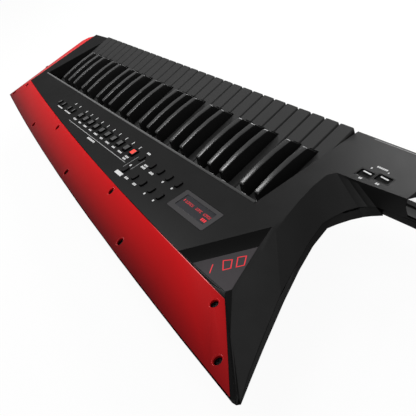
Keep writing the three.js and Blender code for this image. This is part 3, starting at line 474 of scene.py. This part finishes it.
def trimWhiteKey(shape):
    # the two front corners cut back to a rounded plan, the long top edges chamfered; the chamfers get the
    # near-black painted shade of the gaps between keys
    left = min(v.co.x for v in shape.verts)
    right = max(v.co.x for v in shape.verts)
    high = max(v.co.z for v in shape.verts)
    front = min(v.co.y for v in shape.verts if v.co.z > high - keyLook["topBand"] / 1000)
    radius = keyLook["corner"] / 1000
    for face in shape.faces:
        face.material_index = 0
    for side, x in ((-1, left), (1, right)):
        lean = Vector((side, math.sin(keyTilt), math.cos(keyTilt))).normalized()
        onEdge = spot(0, 0, 0)
        onEdge.x = x - side * keyLook["side"] / 1000
        cutOff(shape, onEdge, lean, 1)
    for side, x in ((-1, left + radius), (1, right - radius)):
        for degrees in keyLook["cornerCuts"]:
            a = math.radians(degrees)
            outward = Vector((side * math.sin(a), -math.cos(a), 0))
            onPlane = Vector((x, front + radius, 0)) + outward * radius
            cutOff(shape, onPlane, outward, 0)
    bmesh.ops.recalc_face_normals(shape, faces=shape.faces)


for name in whiteNames:
    dressNode(name, "keyGrey", name, keyLook["whiteEdge"], rim="paintedShadeRim", reshape=trimWhiteKey)
for name in blackNames:
    dressNode(name, "keyBlack", name, keyLook["blackEdge"])
print("keys dressed")

# buttons, switches, bar: the cap tops of the button strips get their own finish; their sides stay near black, a
# painted shade
capLook = {
    "edge": 0.12, "level": 0.95,
    "tone_buttons": {"top": "button", "slot": "button_grey", "above": 1.9},
    "menu_buttons": {"top": "case", "slot": "button_black", "above": 1.5},
}
for node in ("tone_buttons", "menu_buttons"):
    look = capLook[node]
    caps = dressNode(node, "paintedShadeBlack", node, capLook["edge"], 1)
    caps.data.materials.append(finishes[look["top"]])
    for face in caps.data.polygons:
        if face.normal.z > capLook["level"] and face.center.z > spot(0, 0, panelZ + look["above"]).z:
            face.material_index = 1
controlEdges = {"switch": 0.15, "bar": 0.8}
for node in ("octave_up_switch", "octave_down_switch"):
    dressNode(node, "rockerGrey", node, controlEdges["switch"], 1)
dressNode("modulation_bar", "bar", "modulation_bar", controlEdges["bar"], 3)

# the smoked number window with its slanted stripe
numberLook = {"edge": 0.2, "facingUp": 0.5, "slant": 0.08}
windowShell = dressNode("number_window", "numberPlate", "case", numberLook["edge"])
windowShell.data.materials.append(finishes["stripe"])
for face in windowShell.data.polygons:
    lean = abs(face.normal.y) + abs(face.normal.x)
    if face.normal.z > numberLook["facingUp"] and lean > numberLook["slant"]:
        face.material_index = 1

# the display: pale frame, darker pane
displayLook = {"edge": 0.3, "pane": [(17, 168.5, 76.5, 186)], "sunk": 0.1, "level": 0.9}
displayShell = dressNode("display_window", "bezel", "case", displayLook["edge"])
displayShell.data.materials.append(finishes["smoke"])
paneTop = spot(0, 0, panelZ - displayLook["sunk"]).z
for face in displayShell.data.polygons:
    c = face.center
    if within(c, displayLook["pane"]) and face.normal.z > displayLook["level"] and c.z < paneTop:
        face.material_index = 1
print("controls dressed")


def plateSet(name, outlines, z, thick, finish, body="case"):
    # several thin plates in one mesh; every outline is a list of x, y corners
    verts, faces = [], []
    for outline in outlines:
        base = len(verts)
        count = len(outline)
        verts += [spot(x, y, z) for x, y in outline] + [spot(x, y, z + thick) for x, y in outline]
        area = sum(a[0] * b[1] - b[0] * a[1] for a, b in zip(outline[-1:] + outline[:-1], outline))
        order = list(range(count)) if area > 0 else list(range(count))[::-1]
        faces.append([base + count + i for i in order])
        faces.append([base + i for i in order[::-1]])
        for k in range(count):
            a, b = order[k], order[(k + 1) % count]
            faces.append([base + a, base + b, base + count + b, base + count + a])
    return addPiece(name, verts, faces, finish, body)


def rect(x, y, wide, deep, turn=0.0):
    c, s = math.cos(turn), math.sin(turn)
    halfWide, halfDeep = wide / 2, deep / 2
    corners = ((-halfWide, -halfDeep), (halfWide, -halfDeep), (halfWide, halfDeep), (-halfWide, halfDeep))
    return [(x + px * c - py * s, y + px * s + py * c) for px, py in corners]


def wordMarks(x, y, wide, deep, letters):
    # a word that can't be read: a row of small blocks
    step = wide / letters
    block = step * panelInk["letterShare"]
    return [rect(x - wide / 2 + step * (i + 0.5), y, block, deep) for i in range(letters)]


# prints on the panel: words are x, y, width, depth, letters; blocks and lines x, y, width, depth
panelInk = {
    "thick": 0.06, "letterShare": 0.72, "toneFirst": 418.3, "tonePitch": 21.6, "toneCount": 10,
    "words": [(495, 174.3, 22, 2.2, 6), (460, 173.8, 25, 2.2, 6), (225, 175.4, 10, 2.6, 3),
              (225, 179.4, 9, 2.6, 3), (325, 186.7, 26, 3, 7), (200, 154.8, 8.5, 2.8, 3),
              (178.5, 174, 11, 3, 3), (156.5, 174, 10, 3, 3), (179, 197.5, 9, 3, 3),
              (156.5, 197.5, 8, 3, 3), (178.5, 170, 9, 2.4, 3)],
    "blocks": [(471, 154, 2, 4), (451, 154, 2, 4), (200.4, 181.3, 3, 3), (200, 198.5, 18, 5.2),
               (125.8, 174.3, 2.6, 2.6), (103.8, 174.1, 2.6, 2.6),
               (126.5, 198.5, 2.6, 2.6), (104.2, 198.5, 2.6, 2.6)],
    "toneTick": {"aside": 2, "y": 154.7, "wide": 1.5, "deep": 4.6},
    "toneWord": {"aside": 1.6, "y": 175.6, "wide": (12, 9), "deep": 2.6, "letters": (4, 3)},
    "lines": [(321.25, 182.8, 213.5, 0.8), (207.9, 177.3, 0.6, 23), (191.5, 175.3, 0.6, 21)],
}
inkThick = panelInk["thick"]
toneX = [panelInk["toneFirst"] - panelInk["tonePitch"] * i for i in range(panelInk["toneCount"])]
tick, word = panelInk["toneTick"], panelInk["toneWord"]
marks = [rect(*block) for block in panelInk["blocks"]]
for spec in panelInk["words"]:
    marks += wordMarks(*spec)
for i, x in enumerate(toneX):
    marks.append(rect(x + tick["aside"], tick["y"], tick["wide"], tick["deep"]))
    if i < len(toneX) - 1:
        wide, letters = word["wide"][i % 2], word["letters"][i % 2]
        marks += wordMarks(x + word["aside"], word["y"], wide, word["deep"], letters)
plateSet("panel_marks", marks, panelZ, inkThick, "ink")
plateSet("panel_lines", [rect(*line) for line in panelInk["lines"]], panelZ, inkThick, "inkGrey")

# the lit button: a lamp plate on the tenth tone cap
lampPlate = {"y": 165.6, "wide": 8.4, "deep": 7.0, "rise": 2.0, "thick": 0.12}
lampOutline = rect(toneX[-1], lampPlate["y"], lampPlate["wide"], lampPlate["deep"])
plateSet("tone_lamp", [lampOutline], panelZ + lampPlate["rise"], lampPlate["thick"],
         "lamp", "tone_buttons")

# bead along the front edge of the panel, in light grey: a painted highlight on the rounded lip
beadShape = {"front": 131.9, "rear": 134.9, "rise": 0.7, "low": -1.6, "ends": (-1.5, 683), "steps": 8}
middle = (beadShape["front"] + beadShape["rear"]) / 2
half = (beadShape["rear"] - beadShape["front"]) / 2
beadRing = [(beadShape["front"], panelZ + beadShape["low"])]
for k in range(beadShape["steps"] + 1):
    a = math.pi * k / beadShape["steps"]
    beadRing.append((middle - half * math.cos(a), panelZ + beadShape["rise"] * math.sin(a)))
verts = [spot(x, y, z) for x in beadShape["ends"] for y, z in beadRing]
count = len(beadRing)
faces = [tuple(range(count)), tuple(range(count, 2 * count))[::-1]]
faces += [(k, count + k, count + (k + 1) % count, (k + 1) % count) for k in range(count)]
addPiece("lip_bead", verts, faces, "lip", "case", True)
print("panel printed")


def stroke(start, end, width, extra=0.0):
    # a straight stroke between two places
    (ax, ay), (bx, by) = start, end
    length = math.hypot(bx - ax, by - ay)
    return rect((ax + bx) / 2, (ay + by) / 2, length + extra, width, math.atan2(by - ay, bx - ax))


def frameStroke(points, width):
    # outline drawn as a closed band
    return [stroke(points[i], points[(i + 1) % len(points)], width, width) for i in range(len(points))]


def glyphStrokes(x, y, wide, deep, width, kind):
    # a small sign that can't be read: three sides of a box, the open side changes
    strokes = frameStroke(rect(x, y, wide, deep), width)
    return strokes[:kind % 4] + strokes[kind % 4 + 1:]


# display signs: words are left, right, letters
displayText = {
    "words": [(67.7, 51.7, 5), (46.3, 34.3, 4), (30.6, 17.4, 5)], "y": 175.8, "deep": 2.6,
    "share": 0.62, "stroke": 0.4, "first": (71, 175.5, 1.2, 3), "sunk": 0.4,
    "blocks": {"left": 17.5, "right": 26.8, "front": 179.7, "rear": 183.2, "count": 3, "wide": 2.2},
}
textMarks = [rect(*displayText["first"])]
for left, right, letters in displayText["words"]:
    step = (left - right) / letters
    for i in range(letters):
        textMarks += glyphStrokes(left - step * (i + 0.5), displayText["y"], step * displayText["share"],
                                  displayText["deep"], displayText["stroke"], i)
blocks = displayText["blocks"]
blockStep = (blocks["right"] - blocks["left"]) / blocks["count"]
for i in range(blocks["count"]):
    textMarks.append(rect(blocks["left"] + blockStep * (i + 0.5), (blocks["front"] + blocks["rear"]) / 2,
                          blocks["wide"], blocks["rear"] - blocks["front"]))
plateSet("display_text", textMarks, panelZ - displayText["sunk"], inkThick, "digit", "case")

# the three large number signs
numberSigns = {
    "z": -10, "width": 1.0,
    "bar": [(-34.9, 208.0), (-42.1, 216.1)],
    "boxes": [[(-39.0, 198.8), (-45.1, 192.7), (-53.2, 199.8), (-49.2, 205.9)],
              [(-47.1, 187.6), (-52.2, 181.5), (-60.4, 189.7), (-56.3, 195.8)]],
}
strokes = [stroke(*numberSigns["bar"], numberSigns["width"])]
for shape in numberSigns["boxes"]:
    strokes += frameStroke(shape, numberSigns["width"])
plateSet("number_digits", strokes, numberSigns["z"], inkThick, "digit", "case")

# the neck: ribbon strip, marks, painted shade around the octave switches, painted highlight along the front
# edge, painted shade at the near end of the bar
neckLook = {
    "ribbon": {"middle": (-285, 15), "size": (268, 16), "sunk": 0.5, "thick": 0.45},
    "words": [(-70.7, 32.1, 13.7, 2.0, 6), (-62.8, 52.8, 4.4, 2.2, 2), (-82.8, 51, 4.8, 2.2, 2)],
    "blocks": [(-61, 36.5, 1.8, 1.8), (-80.5, 34.2, 1.2, 1.6)],
    "edgeHighlight": (-229, 0.9, 402, 0.7), "tick": (-55.1, 50.6, 6.4, 0.7, -0.06),
    "surrounds": [(-62.35, 45.45, 17.0, 8.0), (-82.85, 42.95, 17.0, 8.0)],
    "sideBand": {"out": 1.05, "wide": 1.7, "over": 2.8},
    "endBand": {"out": 0.85, "deep": 1.1, "over": 0.4},
    "switchBars": {"octave_up_switch": (-62.6, 43.5, 10.8), "octave_down_switch": (-83.0, 41.7, 10.4)},
    "switchBar": {"deep": 1.5, "turn": -0.07, "sunk": 0.14},
    "barEnd": [(-119.8, 38), (-119.8, 52.4), (-121.6, 51.8), (-125, 47), (-132, 38)], "barEndZ": -4.2,
}
ribbon = neckLook["ribbon"]
ribbonOutline = rect(*ribbon["middle"], *ribbon["size"])
plateSet("ribbon_strip", [ribbonOutline], panelZ - ribbon["sunk"], ribbon["thick"], "ribbon")
neckMarks = [rect(*block) for block in neckLook["blocks"]]
for spec in neckLook["words"]:
    neckMarks += wordMarks(*spec)
plateSet("neck_marks", neckMarks, panelZ, inkThick, "ink")
sideBand, endBand = neckLook["sideBand"], neckLook["endBand"]
bands = []
for x, y, wide, deep in neckLook["surrounds"]:
    for side in (-1, 1):
        bandX, bandY = x + side * (wide / 2 + sideBand["out"]), y + side * (deep / 2 + endBand["out"])
        bands.append(rect(bandX, y, sideBand["wide"], deep + sideBand["over"]))
        bands.append(rect(x, bandY, wide + endBand["over"], endBand["deep"]))
# painted shade: black bands over the wells around the octave switches
plateSet("rocker_well_painted_shade", bands, panelZ, inkThick, "stripe")
# painted highlight: a light strip along the neck's front edge
plateSet("neck_edge_highlight", [rect(*neckLook["edgeHighlight"])], panelZ, inkThick, "edgeHighlight")
plateSet("neck_tick", [rect(*neckLook["tick"])], panelZ, inkThick, "inkGrey")
switchBar = neckLook["switchBar"]
for node, (x, y, wide) in neckLook["switchBars"].items():
    outline = rect(x, y, wide, switchBar["deep"], switchBar["turn"])
    plateSet(node + "_bar", [outline], panelZ - switchBar["sunk"], inkThick, "ink", node)
# painted shade: a black triangle at the near end of the bar's top
plateSet("bar_end_painted_shade", [neckLook["barEnd"]], neckLook["barEndZ"], inkThick,
         "paintedShadeBlack", "modulation_bar")
print("neck marked")

# screws: profile is share of the radius, height
screwLook = {
    "head": 3.9, "sink": 2.2, "sides": 20, "profile": [(1, -1.2), (1, -0.25), (0.86, 0.0), (0.62, 0.1)],
    "starPoints": 8, "starFar": 0.5, "starNear": 0.16, "starTop": 0.1, "starFloor": -0.7,
    "lipSides": 28, "lip": [(5.4, -0.3), (5.1, 0.12), (4.25, -0.8), (4.25, -1.2)], "slopeReach": 6,
    "cover": [(692, 176), (435, 202.4), (178, 221), (-74.3, 232.8), (719, 200), (522, 221),
              (306, 239.6), (91.5, 252.8), (-122.7, 262.3)],
}


def surfacePoint(obj, x, y, fromZ=20):
    # place and slope of a piece's surface straight under, or over, a place
    ray = Vector((0, 0, -1 if fromZ > 0 else 1))
    hit, place, normal = obj.ray_cast(spot(x, y, fromZ), ray)[:3]
    if not hit:
        raise ValueError("no surface of %s at %s, %s" % (obj.name, x, y))
    return place, normal


def ringPoints(place, normal, height, radii):
    side = normal.orthogonal().normalized()
    up = normal.cross(side)
    points = []
    for i, r in enumerate(radii):
        a = 2 * math.pi * i / len(radii)
        points.append(place + (side * math.cos(a) + up * math.sin(a)) * r / 1000 + normal * height / 1000)
    return points


def ringFaces(first, second, sides):
    pairs = [(i, (i + 1) % sides) for i in range(sides)]
    return [(first + i, first + j, second + j, second + i) for i, j in pairs]


def screwHead(name, place, normal, radius):
    # low pan head with a crosshead recess, modelled
    sides, points = screwLook["sides"], screwLook["starPoints"]
    profile = screwLook["profile"]
    verts, faces = [], []
    for share, height in profile:
        verts += ringPoints(place, normal, height, [radius * share] * sides)
    for k in range(len(profile) - 1):
        faces += ringFaces(k * sides, (k + 1) * sides, sides)
    star = [radius * screwLook["starFar" if i % 2 == 0 else "starNear"] for i in range(points)]
    topStart = len(verts)
    verts += ringPoints(place, normal, screwLook["starTop"], star)
    floorStart = len(verts)
    verts += ringPoints(place, normal, screwLook["starFloor"], star)
    faces += ringFaces(topStart, floorStart, points)
    faces.append(tuple(floorStart + i for i in range(points)))
    last = (len(profile) - 1) * sides
    for i in range(points):  # band between the star and the rim
        start, end = round(i * sides / points), round((i + 1) * sides / points)
        rim = [last + k % sides for k in range(start, end + 1)]
        faces.append((topStart + i, *rim, topStart + (i + 1) % points))
    addPiece(name, verts, faces, "screw", "case")


def sinkRing(name, place, normal):
    # turned-in lip of the screw hole, in a lighter red than the cover: painted light on its sloping wall
    sides, lip = screwLook["lipSides"], screwLook["lip"]
    verts, faces = [], []
    for k, (radius, height) in enumerate(lip):
        verts += ringPoints(place, normal, height, [radius] * sides)
        faces += ringFaces(k * sides, (k + 1) % len(lip) * sides, sides)
    addPiece(name, verts, faces, "coverLip", "case")


for i, (x, y) in enumerate(screwLook["cover"]):
    place, normal = surfacePoint(coverShell, x + screwLook["slopeReach"], y)
    place2, normal2 = surfacePoint(coverShell, x - screwLook["slopeReach"], y)
    normal = (normal + normal2).normalized()
    centre = spot(x, y, 0)
    centre.z = (place.z + place2.z) / 2
    sinkRing("cover_hole_%d" % (i + 1), centre, normal)
    screwHead("cover_screw_%d" % (i + 1), centre - normal * screwLook["sink"] / 1000, normal, screwLook["head"])
print("screws in")

# rubber pads on the feet
footPad = {"places": [(40, 108), (660, 108), (40, 192), (660, 186)], "radius": 11.4, "height": 3.2,
           "bottom": -87, "sides": 40, "edge": 0.8, "sharp": 40}
for i, (x, y) in enumerate(footPad["places"]):
    turns = [2 * math.pi * k / footPad["sides"] for k in range(footPad["sides"])]
    ring = [(x + footPad["radius"] * math.cos(a), y + footPad["radius"] * math.sin(a)) for a in turns]
    pad = plateSet("foot_pad_%d" % (i + 1), [ring], footPad["bottom"], footPad["height"], "rubber")
    softEdges(pad, footPad["edge"], 2, footPad["sharp"])
print("feet padded")

# underside: a row of case screws on each side and the battery door
underside = {
    "rows": (116, 182), "along": (110, 230, 470, 590), "head": 3.4, "proud": 0.7, "below": -100,
    "door": {"left": 305, "right": 395, "front": 128, "rear": 176, "cut": 4, "probe": (350, 150),
             "thick": 0.5, "let": 0.2, "edge": 0.3, "sharp": 40},
    "grip": {"in": 7, "pitch": 4, "wide": 5, "deep": 1.6, "out": 0.35, "thick": 0.45},
}
places = [(x, y) for y in underside["rows"] for x in underside["along"]]
for i, (x, y) in enumerate(places):
    place, normal = surfacePoint(lowerShell, x, y, underside["below"])
    screwHead("case_screw_%d" % (i + 1), place + normal * underside["proud"] / 1000, normal, underside["head"])
door, grip = underside["door"], underside["grip"]
x0, x1, y0, y1, c = door["left"], door["right"], door["front"], door["rear"], door["cut"]
doorTop = surfacePoint(lowerShell, *door["probe"], underside["below"])[0]
doorZ = doorTop.z * 1000 - caseOrigin[2] - door["thick"]
doorOutline = [
    (x0 + c, y0), (x1 - c, y0), (x1, y0 + c), (x1, y1 - c),
    (x1 - c, y1), (x0 + c, y1), (x0, y1 - c), (x0, y0 + c),
]
doorPlate = plateSet("battery_door", [doorOutline], doorZ, door["thick"] + door["let"], "neck")
softEdges(doorPlate, door["edge"], 1, door["sharp"])
gripX, gripY = x1 - grip["in"], (y0 + y1) / 2
ribs = [rect(gripX, gripY + grip["pitch"] * i, grip["wide"], grip["deep"]) for i in (-1, 0, 1)]
plateSet("battery_door_grip", ribs, doorZ - grip["out"], grip["thick"], "neck")
print("underside finished:", len(places))

# floor, background, lamps
stageLook = {
    "floorSize": 14, "floorDrop": 0.0005, "paper": (0.9, 0.9, 0.9, 1), "paperRough": 0.95,
    "floorShare": 0.95, "worldDiffuse": 0.35,
}
bpy.ops.mesh.primitive_plane_add(size=stageLook["floorSize"], location=(0, 0, -stageLook["floorDrop"]))
floor = bpy.context.object
floor.name = "floor"
floorMat, floorTree, floorShader = newFinish("floor_paper", stageLook["paper"], stageLook["paperRough"],
                                             specular=0.0)


def cleanRays(tree):
    # one for rays that look straight at the paper or see it in gloss or glass
    path = tree.nodes.new("ShaderNodeLightPath").outputs
    first = combine(tree, "MAXIMUM", path["Is Camera Ray"], path["Is Glossy Ray"])
    return combine(tree, "MAXIMUM", first, path["Is Transmission Ray"])


glow = floorTree.nodes.new("ShaderNodeEmission")
glow.inputs["Strength"].default_value = 1.0
blend = floorTree.nodes.new("ShaderNodeMixShader")
link(floorTree, spread(floorTree, cleanRays(floorTree), 0.0, stageLook["floorShare"]), blend.inputs["Fac"])
link(floorTree, floorShader.outputs["BSDF"], blend.inputs[1])
link(floorTree, glow.outputs["Emission"], blend.inputs[2])
link(floorTree, blend.outputs["Shader"], floorTree.nodes["Material Output"].inputs["Surface"])
floor.data.materials.append(floorMat)

world = bpy.data.worlds.new("studio")
bpy.context.scene.world = world
world.use_nodes = True
worldTree = world.node_tree
background = worldTree.nodes["Background"]
background.inputs["Color"].default_value = (1, 1, 1, 1)
strength = spread(worldTree, cleanRays(worldTree), stageLook["worldDiffuse"], 1.0)
link(worldTree, strength, background.inputs["Strength"])

# lamps: place and target in metres, size, power in watts
lamps = {
    "lamp_neck_glow": [(0.31, -0.62, 0.61), (-0.25, -0.12, 0.08), (0.25, 0.25), 4.5],
    "lamp_key_tails": [(1.03, 0.0, 1.05), (-0.1, 0, 0.09), (0.2, 0.2), 6],
    "lamp_rim": [(1.0, -1.15, 0.42), (-0.1, -0.05, 0.09), (0.9, 0.25), 12],
    "lamp_overhead": [(0.1, 0.5, 1.9), (0, 0, 0), (1.8, 1.0), 8],
}
for name, (place, target, size, power) in lamps.items():
    light = bpy.data.lights.new(name, "AREA")
    light.shape = "RECTANGLE"
    light.size, light.size_y = size
    light.energy = power
    lamp = bpy.data.objects.new(name, light)
    bpy.context.scene.collection.objects.link(lamp)
    lamp.location = place
    lamp.rotation_euler = (Vector(target) - Vector(place)).to_track_quat("-Z", "Y").to_euler()

# camera at the photograph's viewing angle
viewFrom = {
    "place": (-458.513, 329.133, 339.457), "lens": 53.9406, "sensor": 36, "near": 0.01,
    "right": (-0.49648323, -0.79995565, -0.33700944),
    "down": (-0.35442569, 0.54121685, -0.76253967),
    "forward": (0.79239311, -0.25914335, -0.55222992),
}
cameraData = bpy.data.cameras.new("photo_view")
cameraData.lens = viewFrom["lens"]
cameraData.sensor_width = viewFrom["sensor"]
cameraData.clip_start = viewFrom["near"]
camera = bpy.data.objects.new("photo_view", cameraData)
bpy.context.scene.collection.objects.link(camera)
right, down, forward = (Vector(viewFrom[key]) for key in ("right", "down", "forward"))
turn = Matrix((right, -down, -forward)).transposed().to_4x4()
camera.matrix_world = Matrix.Translation(spot(*viewFrom["place"])) @ turn
bpy.context.scene.camera = camera
bpy.context.scene.view_settings.view_transform = "Standard"
print("stage and camera ready")
